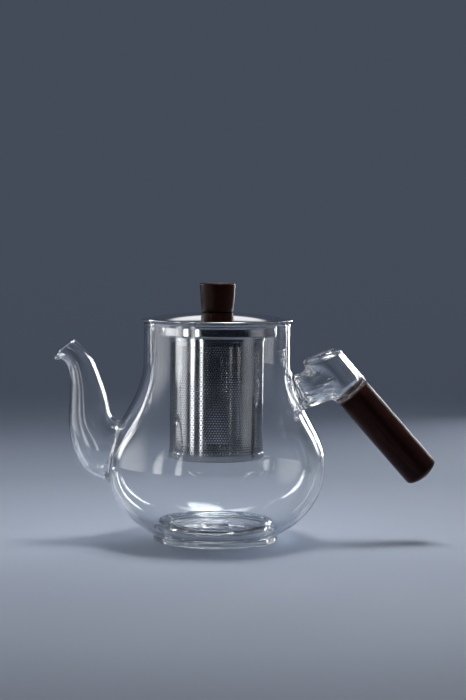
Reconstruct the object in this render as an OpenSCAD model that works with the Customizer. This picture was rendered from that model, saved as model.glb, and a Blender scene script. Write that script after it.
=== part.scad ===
// Glass teapot: blown body with a foot ring and a pushed-up floor, a fused
// gooseneck spout, a glass handle socket with a wooden grip, a steel infuser
// that hangs in the neck, and a domed steel lid with a wooden knob.
//
// Millimetres. The origin is the centre of the foot's underside, +Z is up,
// the spout points to -X and the handle to +X.

/* [Glass body] */
// Radius of the widest part of the belly
belly_r = 69; // [64:0.5:74]
// Height of the widest part of the belly
belly_z = 48; // [44:0.5:52]
// Outer radius of the straight neck
neck_r = 46.2; // [44:0.2:49]
// Height where the straight neck turns into the shoulder
neck_z = 114; // [108:0.5:120]
// Height of the neck above the shoulder line
neck_h = 24; // [20:0.5:32]
// Thickness of the blown wall
wall_t = 2.2; // [1.6:0.1:2.8]
// Thickness of the pushed-up floor
floor_t = 2.4; // [1.8:0.1:3]
// Outer radius of the foot ring
foot_r = 39.5; // [38:0.5:42]
// Height of the foot ring
foot_h = 4.6; // [3.6:0.2:5.6]
// Radius of the pushed-up floor, seen from inside
kick_r = 36.5; // [34:0.5:37]
// Height of the pushed-up floor's shoulder
kick_z = 12.6; // [11:0.2:14]
// Radius of the dished middle of the floor
dish_r = 27; // [22:0.5:29]
// Height of the dished middle of the floor
dish_z = 8.2; // [7:0.2:9.6]
// Radius of the small pontil button in the middle of the floor
button_r = 9; // [6:0.5:12]

/* [Spout] */
// Thickness of the spout's wall
spout_t = 1.8; // [1.4:0.1:2.2]
// Height of the spout's lower line where it meets the belly
spout_low_z = 38; // [35:0.5:41]
// Height of the spout's upper line where it meets the belly
spout_high_z = 75.6; // [73:0.5:78]
// How far the front of the spout stands out past the belly
spout_out = 24.3; // [21:0.1:28]
// Bore of the spout's neck where it leaves the bulb
spout_bulb_d = 26.2; // [23:0.2:28]
// Outer diameter of the spout where it bends over to pour
spout_bend_d = 17; // [15:0.2:19]
// Height of the middle of that bend
spout_bend_z = 109.4; // [105:0.2:113]
// How far the pouring lip stands out past the belly
lip_out = 34.6; // [32:0.1:38]
// Height of the pouring lip
lip_z = 115.2; // [112:0.2:118]
// Outer width of the mouth along its cut
mouth_d = 17.6; // [15:0.2:19]
// Angle of the mouth's cut from the horizontal
mouth_tilt = 38.3; // [30:0.5:46]
// Diameter of the port through the belly
port_d = 27; // [18:0.5:30]

/* [Handle] */
// Angle of the grip below the horizontal
grip_tilt = 48.5; // [40:0.5:56]
// How far the centre of the socket's lower rim stands out past the belly
socket_out = 16.6; // [14:0.2:22]
// Height of the centre of the socket's lower rim
socket_z = 94.8; // [90:0.2:100]
// Outer diameter of the glass socket
socket_d = 23.6; // [22:0.2:26]
// Length of the glass socket along its axis
socket_l = 32; // [30:0.5:38]
// Thickness of the socket's wall
socket_t = 2.2; // [1.6:0.1:3]
// Outer diameter of the glass stub between belly and socket
stub_d = 22.4; // [18:0.2:23]
// Thickness of the stub's wall
stub_t = 2.6; // [1.8:0.1:3]
// Angle of the stub above the horizontal
stub_tilt = 22; // [15:0.5:28]
// Distance from the socket's lower rim up to the middle of the stub, along the socket
stub_up = 12.5; // [11:0.1:15]
// Outer diameter of the glass nipple inside the grip
nipple_d = 11; // [9:0.2:12]
// Length of the glass nipple
nipple_l = 26; // [20:0.5:32]
// Vent through the nipple
vent_d = 5; // [3:0.2:6]
// Thickness of the cork sleeve on the nipple
sleeve_t = 1.5; // [1:0.1:2]
// Outer diameter of the wooden grip
grip_d = 22.5; // [21:0.1:26]
// Length of the wooden grip
grip_l = 69.8; // [60:0.5:90]
// Rise of the grip's domed end
grip_dome = 3.3; // [2:0.1:4.5]
// Gap between the glass rim and the wood
grip_gap = 1.2; // [0.6:0.1:2]

/* [Infuser] */
// How far the pressed flange lies out over the glass rim
flange_lap = 0.4; // [0:0.1:1]
// Thickness of the infuser's steel sheet
sheet_t = 0.6; // [0.4:0.1:1]
// Radius of the collar that holds the lid
collar_r = 37.6; // [36:0.2:39]
// Height of the slope from the flange to the collar
slope_h = 2.2; // [1.4:0.2:4]
// Height of the straight collar
collar_h = 6.8; // [5:0.2:9]
// Radius of the perforated screen
screen_r = 29.5; // [26:0.5:33]
// Length of the screen
screen_l = 77; // [60:0.5:80]
// Height of the plain band round the screen's top
band_h = 2.6; // [2:0.2:5]
// Height of the base cup's plain band
cup_h = 4.5; // [3:0.5:7]

/* [Lid] */
// How far the lid's brim stands out past the infuser's flange
brim_lap = 1.3; // [0.6:0.1:2.5]
// Rise of the lid's dome
dome_rise = 4.7; // [3:0.1:7]
// Thickness of the lid's steel sheet
lid_t = 0.8; // [0.6:0.1:1.2]
// Depth of the skirt that centres the lid
skirt_h = 6.4; // [4:0.2:8]
// Diameter of the steam hole
steam_d = 3.2; // [2:0.2:5]
// Distance from the axis to the steam hole
steam_r = 39; // [25:0.5:41]
// Direction of the steam hole around the lid
steam_turn = -19; // [-90:1:90]

/* [Knob] */
// Diameter of the knob's top
knob_top_d = 22.4; // [20:0.2:26]
// Diameter of the knob's foot
knob_foot_d = 19.8; // [17:0.2:22]
// Height of the knob
knob_h = 18.3; // [14:0.2:24]
// Diameter of the knob's screw
screw_d = 4; // [3:0.5:5]
// Length of the screw inside the wood
screw_l = 11; // [8:0.5:12]
// Outer diameter of the screw's washer
washer_d = 12; // [10:0.5:16]

/* [Hidden] */
$fn = 96;

// Clearances
glue_gap = 0.05;        // between glued or pressed pieces of one body
seat_gap = 0.3;         // between pieces that lift apart
skirt_gap = 0.5;        // between the lid's skirt and the collar

// Steps of the curves
body_steps = 12;
spout_steps = 8;
spout_sides = 28;

// Share of each arc's height that its handles take, which sets how round the belly is
shoulder_ease = 0.418;
belly_top_ease = 0.368;
belly_low_ease = 0.553;
heel_pull = 14;         // length of the handle where the belly runs into the foot
heel_angle = 27;        // slope of the belly where it meets the foot
heel_step = 0.5;        // how far the belly stands out over the foot ring
edge = 1.2;             // rounding of the foot ring's edges
rim_bead = 0.3;         // how far the fire-polished rim stands out

// Heights that everything in the neck follows
rim_z = neck_z + neck_h;
flange_z = rim_z + seat_gap;
flange_r = neck_r + flange_lap;
collar_top_z = flange_z - slope_h;
collar_low_z = collar_top_z - collar_h;
screen_top_z = collar_low_z + sheet_t;
screen_low_z = screen_top_z - screen_l;
brim_z = flange_z + sheet_t + seat_gap;
brim_r = flange_r + brim_lap;
dome_z = brim_z + lid_t + dome_rise;
dome_ball_r = (pow(brim_r, 2) + pow(dome_rise, 2)) / (2 * dome_rise);
skirt_r = collar_r - sheet_t - skirt_gap;
knob_z = dome_z + glue_gap;
washer_t = 1;
head_h = 2.4;
big = 400;              // larger than the pot, for cutting tools

// ---------------------------------------------------------------- curves

// Point at t on the cubic curve with the four control points c
function curve(c, t) =
    pow(1 - t, 3) * c[0] + 3 * pow(1 - t, 2) * t * c[1]
    + 3 * (1 - t) * t * t * c[2] + pow(t, 3) * c[3];

// Direction of that curve at t
function heading(c, t) =
    let (d = 3 * pow(1 - t, 2) * (c[1] - c[0]) + 6 * (1 - t) * t * (c[2] - c[1])
             + 3 * t * t * (c[3] - c[2]))
    d / norm(d);

// The same point moved square to the curve, towards the pot's axis
function inward(c, t, by) =
    let (h = heading(c, t)) curve(c, t) + by * [h[1], -h[0]];

// Points of the arc about centre c with radius r from angle a to angle b
function arc(c, r, a, b, steps = 4) =
    [for (i = [0:steps]) c + r * [cos(a + (b - a) * i / steps), sin(a + (b - a) * i / steps)]];

// Control points of the two curves that make the belly, as [radius, height]
upper = [[neck_r, neck_z],
         [neck_r, neck_z - shoulder_ease * (neck_z - belly_z)],
         [belly_r, belly_z + belly_top_ease * (neck_z - belly_z)],
         [belly_r, belly_z]];
heel = [foot_r + heel_step, foot_h];
lower = [[belly_r, belly_z],
         [belly_r, belly_z - belly_low_ease * (belly_z - foot_h)],
         heel + heel_pull * [cos(heel_angle), sin(heel_angle)],
         heel];

// Outline of the belly between its rim and its foot, moved inwards by a wall
function side(by) = concat(
    [for (i = [0:body_steps]) inward(upper, i / body_steps, by)],
    [for (i = [1:body_steps]) inward(lower, i / body_steps, by)]);

function turned(points) = [for (i = [len(points) - 1:-1:0]) points[i]];

// ---------------------------------------------------------------- glass body

// Everything inside the belly's outer surface, for trimming what is fused to it
module belly_solid() {
    rotate_extrude() polygon(concat([[0, rim_z], [neck_r, rim_z]], side(0), [[0, foot_h]]));
}

// Half section of the blown glass, from the foot up and back down inside
function glass_section() =
    let (under_r = kick_r - floor_t,
         fold_r = 1.6,
         crown_r = 2.2,
         dish_slope = 2)
    concat(
        // foot ring, from its inner edge to its outer edge
        [[under_r, edge]],
        arc([under_r + edge, edge], edge, 180, 270),
        arc([foot_r - edge, edge], edge, 270, 360),
        [[foot_r, foot_h - heel_step]],
        // outside of the belly and the rim
        turned(side(0)),
        [[neck_r, rim_z - 2], [neck_r + rim_bead, rim_z - 1.2]],
        arc([neck_r + rim_bead - 0.7, rim_z - 0.7], 0.7, 0, 90, 3),
        arc([neck_r - wall_t + 0.7, rim_z - 0.7], 0.7, 90, 180, 3),
        // inside of the belly, down to the fold round the floor
        side(wall_t),
        arc([kick_r + fold_r, heel[1] + wall_t + fold_r * 0.6], fold_r, 270, 180),
        // pushed-up floor with its rounded shoulder, dished middle and button
        arc([kick_r - crown_r, kick_z - crown_r], crown_r, 0, 90),
        [[dish_r + dish_slope, dish_z + 1.6], [dish_r, dish_z + 0.5], [dish_r - dish_slope, dish_z],
         [button_r + 1, dish_z], [button_r, dish_z + 0.8], [0, dish_z + 1.2]],
        // underside of the floor
        [[0, dish_z - floor_t], [dish_r - dish_slope, dish_z - floor_t],
         [dish_r + dish_slope, dish_z + 1.6 - floor_t]],
        arc([under_r - crown_r, kick_z - floor_t - crown_r], crown_r, 90, 0));

// Ends of the spout's root on the belly, as [x, z], and its direction outwards
root_top = [10.4 - belly_r, spout_high_z];
root_low = [-belly_r, spout_low_z];
root_mid = (root_top + root_low) / 2;
root_dir = [root_low[1] - root_top[1], root_top[0] - root_low[0]] / norm(root_top - root_low);

module along_root() {
    translate([root_mid[0], 0, root_mid[1]])
        rotate([0, atan2(root_dir[0], root_dir[1]), 0]) children();
}

module glass_body() {
    port_reach = 30;
    color("lightcyan") difference() {
        rotate_extrude() polygon(glass_section());
        along_root() translate([0, 0, -port_reach / 2]) cylinder(d = port_d, h = port_reach);
    }
}

// ---------------------------------------------------------------- spout

// Lines of the spout as [x, z]: the upper one on the pot's side, the lower one in front
root_in = 8;            // how far the untrimmed root reaches into the belly
spout_reach = belly_r + spout_out;
bulb_low = [-spout_reach, 78];
bulb_top = bulb_low + spout_bulb_d * [cos(8.7), sin(8.7)];
bend_low = [-spout_reach + 0.4, spout_bend_z - 3.6];
bend_top = bend_low + spout_bend_d * [cos(25), sin(25)];
lip = [-belly_r - lip_out, lip_z];
mouth_top = lip + mouth_d * [cos(mouth_tilt), sin(mouth_tilt)];

upper_lines = [
    [root_top, root_top + [-4.4, 0], bulb_top + [1, -4.6], bulb_top],
    [bulb_top, bulb_top + [-1.4, 8.5], bend_top + [5.6, -12.5], bend_top],
    [bend_top, bend_top + [-2.2, 4.6], mouth_top + [4.5, -4.1], mouth_top]];
lower_lines = [
    [root_low, root_low + [-15, 0.5], bulb_low + [0, -23], bulb_low],
    [bulb_low, bulb_low + [0.1, 9], bend_low + [1.3, -7.8], bend_low],
    [bend_low, bend_low + [-1.1, 6.5], lip + [5.1, -0.6], lip]];

// Pairs of points [upper, lower], one pair for each ring of the spout
spout_rings = concat(
    [[root_top - root_in * root_dir, root_low - root_in * root_dir]],
    [for (s = [0:2], i = [(s == 0 ? 0 : 1):spout_steps])
        [curve(upper_lines[s], i / spout_steps), curve(lower_lines[s], i / spout_steps)]]);

// One ring of the spout, as wide as it is tall, made smaller all round by a wall
function ring(pair, by) =
    let (mid = (pair[0] + pair[1]) / 2,
         r = norm(pair[0] - pair[1]) / 2 - by,
         up = (pair[0] - pair[1]) / norm(pair[0] - pair[1]))
    [for (k = [0:spout_sides - 1])
        let (a = 360 * k / spout_sides)
        [mid[0] + r * cos(a) * up[0], r * sin(a), mid[1] + r * cos(a) * up[1]]];

// Closed tube over the rings, hollowed by a wall
module blown_tube(pairs, wall) {
    n = len(pairs);
    m = spout_sides;
    points = concat([for (p = pairs) each ring(p, 0)], [for (p = pairs) each ring(p, wall)]);
    faces = concat(
        [for (i = [0:n - 2], k = [0:m - 1]) let (j = (k + 1) % m)
            each [[i * m + k, i * m + j, (i + 1) * m + j], [i * m + k, (i + 1) * m + j, (i + 1) * m + k]]],
        [for (i = [0:n - 2], k = [0:m - 1]) let (j = (k + 1) % m, o = n * m)
            each [[o + i * m + k, o + (i + 1) * m + j, o + i * m + j],
                  [o + i * m + k, o + (i + 1) * m + k, o + (i + 1) * m + j]]],
        [for (k = [0:m - 1]) let (j = (k + 1) % m, o = n * m)
            each [[k, o + k, o + j], [k, o + j, j]]],
        [for (k = [0:m - 1]) let (j = (k + 1) % m, o = n * m, e = (n - 1) * m)
            each [[e + k, o + e + j, o + e + k], [e + k, e + j, o + e + j]]]);
    polyhedron(points, faces, convexity = 6);
}

module spout() {
    color("lightcyan") difference() {
        blown_tube(spout_rings, spout_t);
        belly_solid();
    }
}

// ---------------------------------------------------------------- handle

socket_x = belly_r + socket_out;

// The socket's own frame: its lower rim in the XY plane, the grip along +Z
module at_socket() {
    translate([socket_x, 0, socket_z]) rotate([0, 90 + grip_tilt, 0]) children();
}

// Where the stub's axis meets the socket's axis, and the stub's length from the pot's axis
meet = [socket_x - stub_up * cos(grip_tilt), socket_z + stub_up * sin(grip_tilt)];
stub_len = meet[0] / cos(stub_tilt);
stub_z = meet[1] - meet[0] * tan(stub_tilt);

// The stub's own frame: +Z along the stub, away from the pot
module at_stub() {
    translate([0, 0, stub_z]) rotate([0, 90 - stub_tilt, 0]) children();
}

// Everything inside the socket's outer surface, with its end cut square to the stub
module socket_solid(by = 0) {
    lean = 90 - grip_tilt - stub_tilt;
    at_socket() difference() {
        translate([0, 0, -socket_l - socket_d / 2]) cylinder(r = socket_d / 2 - by, h = socket_l + socket_d / 2 - by);
        translate([0, 0, -socket_l + by / cos(lean)]) rotate([0, lean, 0])
            translate([-big / 2, -big / 2, -big]) cube(big);
    }
}

module handle_stub() {
    color("lightcyan") difference() {
        at_stub() cylinder(d = stub_d, h = stub_len);
        at_stub() cylinder(d = stub_d - 2 * stub_t, h = stub_len);
        belly_solid();
        socket_solid();
    }
}

module handle_socket() {
    vent_l = nipple_l + 10;
    color("lightcyan") difference() {
        union() {
            socket_solid();
            at_socket() translate([0, 0, -1]) cylinder(d = nipple_d, h = nipple_l + 1);
        }
        socket_solid(socket_t);
        at_stub() cylinder(d = stub_d - 2 * stub_t, h = stub_len);
        at_socket() translate([0, 0, nipple_l - vent_l + 1]) cylinder(d = vent_d, h = vent_l);
    }
}

module grip_sleeve() {
    low = grip_gap;
    color("peru") at_socket() translate([0, 0, low]) difference() {
        cylinder(d = nipple_d + 2 * (glue_gap + sleeve_t), h = nipple_l - low);
        translate([0, 0, -1]) cylinder(d = nipple_d + 2 * glue_gap, h = nipple_l + 2);
    }
}

module grip() {
    fillet = 1.2;
    flank = grip_l - grip_dome;
    ball_r = (pow(grip_d / 2, 2) + pow(grip_dome, 2)) / (2 * grip_dome);
    bore_d = nipple_d + 2 * (2 * glue_gap + sleeve_t);
    bore_l = nipple_l - grip_gap + 1;
    end_angle = asin((grip_d / 2 - fillet) / ball_r);
    color("saddlebrown") at_socket() translate([0, 0, grip_gap]) difference() {
        rotate_extrude() polygon(concat(
            [[0, 0], [grip_d / 2 - 0.4, 0], [grip_d / 2, 0.4], [grip_d / 2, flank - fillet * 0.6]],
            arc([0, grip_l - ball_r], ball_r, 90 - end_angle, 90, 8)));
        translate([0, 0, -1]) cylinder(d = bore_d, h = bore_l + 1);
    }
}

// ---------------------------------------------------------------- infuser

band_r = screen_r + glue_gap;       // inside of the bands that hold the screen

module infuser_collar() {
    bend = 0.5;
    slope_r = neck_r - wall_t - 0.8;
    low = collar_low_z - band_h;
    color("silver") rotate_extrude() polygon([
        [flange_r, flange_z], [slope_r, flange_z], [collar_r, collar_top_z],
        [collar_r, collar_low_z + bend], [collar_r - bend, collar_low_z],
        [band_r + sheet_t, collar_low_z], [band_r + sheet_t, low], [band_r, low],
        [band_r, screen_top_z], [collar_r - sheet_t - bend, screen_top_z],
        [collar_r - sheet_t, screen_top_z + bend], [collar_r - sheet_t, collar_top_z + bend],
        [slope_r - bend, flange_z + sheet_t], [flange_r, flange_z + sheet_t]]);
}

module infuser_screen() {
    color("gainsboro") translate([0, 0, screen_low_z]) difference() {
        cylinder(r = screen_r, h = screen_l);
        translate([0, 0, -1]) cylinder(r = screen_r - sheet_t, h = screen_l + 2);
    }
}

module infuser_cup() {
    edge_r = 0.5;
    color("silver") translate([0, 0, screen_low_z - glue_gap - sheet_t]) rotate_extrude() polygon([
        [0, 0], [band_r + sheet_t - edge_r, 0], [band_r + sheet_t, edge_r],
        [band_r + sheet_t, cup_h], [band_r, cup_h], [band_r, sheet_t], [0, sheet_t]]);
}

// ---------------------------------------------------------------- lid

// Points of the dome's section from the axis to the brim, lowered by a sheet
function dome(by) =
    let (a = asin(brim_r / dome_ball_r), c = [0, dome_z - dome_ball_r])
    arc(c, dome_ball_r - by, 90, 90 - a, 10);

module lid_cover() {
    color("silver") difference() {
        rotate_extrude() polygon(concat(dome(0), [[brim_r, brim_z]], turned(dome(lid_t))));
        translate([0, 0, brim_z - 1]) cylinder(d = screw_d + 0.4, h = big);
        rotate([0, 0, steam_turn]) translate([steam_r, 0, brim_z - 1]) cylinder(d = steam_d, h = big);
    }
}

// Underside of the dome at a radius
function under_dome(r) =
    dome_z - dome_ball_r + sqrt(pow(dome_ball_r - lid_t, 2) - r * r);

washer_z = under_dome(washer_d / 2) - glue_gap - washer_t;
head_z = washer_z - glue_gap;

module lid_skirt() {
    color("silver") rotate_extrude() polygon([
        [skirt_r, brim_z - skirt_h], [skirt_r, under_dome(skirt_r) - glue_gap],
        [skirt_r - 3, under_dome(skirt_r) - glue_gap], [skirt_r - 3, under_dome(skirt_r) - glue_gap - lid_t],
        [skirt_r - lid_t, under_dome(skirt_r) - glue_gap - lid_t], [skirt_r - lid_t, brim_z - skirt_h]]);
}

module knob() {
    bevel = 0.8;
    crown = 0.8;        // how far the flank swells out past a straight cone
    top_r = knob_top_d / 2;
    foot_r = knob_foot_d / 2;
    color("saddlebrown") translate([0, 0, knob_z]) difference() {
        rotate_extrude() polygon([
            [0, 0], [foot_r - 0.3, 0], [foot_r, 0.3],
            [foot_r + (top_r - foot_r) * 0.4 + crown * 0.5, knob_h * 0.4],
            [top_r, knob_h * 0.85], [top_r, knob_h - bevel], [top_r - bevel, knob_h], [0, knob_h]]);
        translate([0, 0, -1]) cylinder(d = screw_d + 2 * glue_gap, h = screw_l + 2);
    }
}

module knob_washer() {
    color("silver") translate([0, 0, washer_z]) difference() {
        cylinder(d = washer_d, h = washer_t);
        translate([0, 0, -1]) cylinder(d = screw_d + 0.4, h = washer_t + 2);
    }
}

module knob_screw() {
    color("dimgray") translate([0, 0, head_z]) difference() {
        union() {
            translate([0, 0, -head_h]) cylinder(d = 2 * screw_d, h = head_h);
            cylinder(d = screw_d, h = knob_z - head_z + screw_l);
        }
        translate([0, 0, -head_h - 1]) cylinder(d = screw_d * 0.55, h = head_h * 0.6 + 1, $fn = 6);
    }
}

glass_body();
spout();
handle_stub();
handle_socket();
grip_sleeve();
grip();
infuser_collar();
infuser_screen();
infuser_cup();
lid_cover();
lid_skirt();
knob();
knob_screw();
knob_washer();
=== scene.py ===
"""The looks of a glass teapot: blown glass with a fused spout and handle socket, a finely
perforated steel infuser, a polished steel lid, and a dark wooden grip and knob.

Lengths are in metres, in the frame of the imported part: +Z is up, the spout points to -X and
the handle to +X. Outlines are lists of Vector((radius or x, z)).
"""

from math import asin, atan2, cos, pi, radians, sin, sqrt, tan

import bmesh
import bpy
from mathutils import Matrix, Vector
from mathutils.kdtree import KDTree


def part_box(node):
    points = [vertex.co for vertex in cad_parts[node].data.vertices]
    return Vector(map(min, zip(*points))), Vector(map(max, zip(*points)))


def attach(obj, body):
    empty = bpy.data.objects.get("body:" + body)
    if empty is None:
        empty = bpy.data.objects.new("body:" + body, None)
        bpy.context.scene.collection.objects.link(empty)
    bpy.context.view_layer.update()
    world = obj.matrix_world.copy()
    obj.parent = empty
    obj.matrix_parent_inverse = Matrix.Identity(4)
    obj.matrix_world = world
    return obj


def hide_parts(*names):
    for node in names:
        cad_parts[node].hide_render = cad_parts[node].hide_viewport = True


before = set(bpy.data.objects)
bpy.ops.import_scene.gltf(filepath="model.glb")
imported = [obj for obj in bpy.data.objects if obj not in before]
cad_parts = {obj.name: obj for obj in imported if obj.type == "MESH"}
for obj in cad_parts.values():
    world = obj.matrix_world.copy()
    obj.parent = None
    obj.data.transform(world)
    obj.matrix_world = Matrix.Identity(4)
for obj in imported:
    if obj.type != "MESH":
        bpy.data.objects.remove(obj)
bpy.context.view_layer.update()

MM = 0.001

# ---------------------------------------------------------------- sizes read from the frame

BODY_LOW, BODY_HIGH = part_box("glass_body")
SCREEN_LOW, SCREEN_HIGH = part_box("infuser_screen")
COLLAR_LOW, COLLAR_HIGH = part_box("infuser_collar")
CUP_LOW, CUP_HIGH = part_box("infuser_cup")
LID_LOW, LID_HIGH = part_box("lid_cover")
KNOB_LOW, KNOB_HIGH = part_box("knob")

BELLY_R = BODY_HIGH[1]
RIM_Z = BODY_HIGH[2]
SCREEN_R = SCREEN_HIGH[0]
LID_R = LID_HIGH[0]

# ---------------------------------------------------------------- sizes of the blown glass

NECK_R = 46.2 * MM
NECK_Z = 114 * MM
BELLY_Z = 48 * MM
FOOT_R = 39.5 * MM
FOOT_H = 4.6 * MM
WALL = 2.2 * MM
FLOOR = 2.4 * MM
KICK_R = 36.5 * MM
KICK_Z = 12.6 * MM
DISH_R = 27 * MM
DISH_Z = 8.2 * MM
BUTTON_R = 9 * MM

SHOULDER_EASE = 0.418
BELLY_TOP_EASE = 0.368
BELLY_LOW_EASE = 0.553
HEEL_PULL = 14 * MM
HEEL_ANGLE = radians(27)
HEEL_STEP = 0.5 * MM

SPOUT_WALL = 1.8 * MM
ROOT_TOP = Vector((10.4 * MM - BELLY_R, 75.6 * MM))
ROOT_LOW = Vector((-BELLY_R, 38 * MM))
PORT_R = 13.5 * MM

GRIP_TILT = radians(48.5)
SOCKET_MOUTH = Vector((BELLY_R + 16.6 * MM, 0, 94.8 * MM))
SOCKET_R = 11.8 * MM
SOCKET_L = 32 * MM
SOCKET_WALL = 2.2 * MM
STUB_R = 11.2 * MM
STUB_WALL = 2.6 * MM
STUB_TILT = radians(22)
STUB_UP = 12.5 * MM
NIPPLE_R = 5.5 * MM
NIPPLE_L = 26 * MM
VENT_R = 2.5 * MM
CAVITY_END = 2.8 * MM
STUB_START = 30 * MM

# small odd turns, so that no facets of joined tubes fall on each other
STUB_TURN = radians(1.3)
BORE_TURN = radians(2.1)
VENT_TURN = radians(2.7)

# ---------------------------------------------------------------- hands


def put_down():
    """Leaves edit mode and selects nothing."""
    if bpy.context.object and bpy.context.object.mode != "OBJECT":
        bpy.ops.object.mode_set(mode="OBJECT")
    bpy.ops.object.select_all(action="DESELECT")


def take(obj):
    """Makes obj the one selected and active object."""
    put_down()
    obj.select_set(True)
    bpy.context.view_layer.objects.active = obj


def open_mesh(obj, mode="VERT"):
    """Enters edit mode on obj with nothing selected."""
    take(obj)
    bpy.ops.object.mode_set(mode="EDIT")
    bpy.ops.mesh.select_mode(type=mode)
    bpy.ops.mesh.select_all(action="DESELECT")


def heal(obj):
    """Merges doubled points and turns all faces outwards."""
    open_mesh(obj)
    bpy.ops.mesh.select_all(action="SELECT")
    bpy.ops.mesh.remove_doubles(threshold=1e-6)
    bpy.ops.mesh.normals_make_consistent(inside=False)
    put_down()


def smooth(obj, angle=None):
    """Shades obj smoothly, all over or up to an angle between faces."""
    take(obj)
    if angle is None:
        bpy.ops.object.shade_smooth()
    else:
        bpy.ops.object.shade_smooth_by_angle(angle=radians(angle))
    put_down()


def turn_section(name, section, steps):
    """Turns a section of (radius, height) points round Z; an end on the axis closes by itself."""
    put_down()
    bpy.ops.mesh.primitive_plane_add(size=1 * MM)
    obj = bpy.context.object
    obj.name = name
    bpy.ops.object.mode_set(mode="EDIT")
    bpy.ops.mesh.merge(type="CENTER")
    bpy.ops.transform.translate(value=(section[0][0], 0, section[0][1]))
    on_axis = section[0][0] == 0 and section[-1][0] == 0
    ends = section[1:] + ([] if on_axis else section[:1])
    for start, end in zip(section, ends):
        step = (end[0] - start[0], 0, end[1] - start[1])
        bpy.ops.mesh.extrude_vertices_move(TRANSFORM_OT_translate={"value": step})
    bpy.ops.mesh.select_all(action="SELECT")
    bpy.ops.mesh.spin(steps=steps, angle=2 * pi, center=(0, 0, 0), axis=(0, 0, 1))
    heal(obj)
    return obj


def turned_piece(name, outline, body, node, turns=144, angle=32):
    """A piece spun or turned from its outline, which stands for a node of the frame."""
    piece = turn_section(name, outline, turns)
    smooth(piece, angle)
    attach(piece, body)
    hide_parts(node)
    return piece


def draw_tube(name, rings, sides):
    """Draws a closed skin through rings of (centre, radius, slope of the ring's long side)."""
    put_down()
    centre, radius, slope = rings[0]
    bpy.ops.mesh.primitive_circle_add(
        vertices=sides, radius=radius, location=centre, rotation=(0, slope, 0))
    obj = bpy.context.object
    obj.name = name
    bpy.ops.object.transform_apply(location=True, rotation=True, scale=True)
    bpy.ops.object.mode_set(mode="EDIT")
    bpy.ops.mesh.select_all(action="SELECT")
    for (c0, r0, a0), (c1, r1, a1) in zip(rings, rings[1:] + rings[:1]):
        bpy.ops.mesh.extrude_edges_move(TRANSFORM_OT_translate={"value": c1 - c0})
        bpy.ops.transform.resize(value=(r1 / r0,) * 3, center_override=c1)
        bpy.ops.transform.rotate(value=a0 - a1, orient_axis="Y", center_override=c1)
    heal(obj)
    return obj


def place(obj, matrix):
    """Moves a finished mesh to its place and leaves its object at the origin."""
    obj.matrix_world = matrix
    take(obj)
    bpy.ops.object.transform_apply(location=True, rotation=True, scale=True)


def work_with(obj, tool, how):
    """Joins, cuts or trims obj with a tool, which is used up."""
    step = obj.modifiers.new("tool", "BOOLEAN")
    step.operation = how
    step.solver = "EXACT"
    step.object = tool
    take(obj)
    bpy.ops.object.modifier_apply(modifier=step.name)
    bpy.data.objects.remove(tool)


# ---------------------------------------------------------------- outlines


def curve(c, t):
    """Point at t on the cubic curve with the four control points c."""
    return ((1 - t) ** 3 * c[0] + 3 * (1 - t) ** 2 * t * c[1]
            + 3 * (1 - t) * t * t * c[2] + t ** 3 * c[3])


def heading(c, t):
    """Direction of that curve at t."""
    d = (3 * (1 - t) ** 2 * (c[1] - c[0]) + 6 * (1 - t) * t * (c[2] - c[1])
         + 3 * t * t * (c[3] - c[2]))
    return d.normalized()


def inward(c, t, by):
    """The curve's point at t moved square to the curve, towards the pot's axis."""
    h = heading(c, t)
    return curve(c, t) + by * Vector((h[1], -h[0]))


def arc(centre, radius, start, end, steps=6):
    """Points of an arc about centre, between two angles in degrees."""
    angles = [radians(start + (end - start) * i / steps) for i in range(steps + 1)]
    return [centre + radius * Vector((cos(a), sin(a))) for a in angles]


def line(a, b, steps):
    """Points from a to b, both included."""
    return [a.lerp(b, i / steps) for i in range(steps + 1)]


HEEL = Vector((FOOT_R + HEEL_STEP, FOOT_H))
UPPER = [Vector((NECK_R, NECK_Z)),
         Vector((NECK_R, NECK_Z - SHOULDER_EASE * (NECK_Z - BELLY_Z))),
         Vector((BELLY_R, BELLY_Z + BELLY_TOP_EASE * (NECK_Z - BELLY_Z))),
         Vector((BELLY_R, BELLY_Z))]
LOWER = [Vector((BELLY_R, BELLY_Z)),
         Vector((BELLY_R, BELLY_Z - BELLY_LOW_EASE * (BELLY_Z - FOOT_H))),
         HEEL + HEEL_PULL * Vector((cos(HEEL_ANGLE), sin(HEEL_ANGLE))),
         HEEL]


def belly_side(by, steps):
    """Outline of the belly from the neck down to the foot, moved inwards by a wall."""
    top = [inward(UPPER, i / steps, by) for i in range(steps + 1)]
    return top + [inward(LOWER, i / steps, by) for i in range(1, steps + 1)]


# ---------------------------------------------------------------- blown glass


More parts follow.
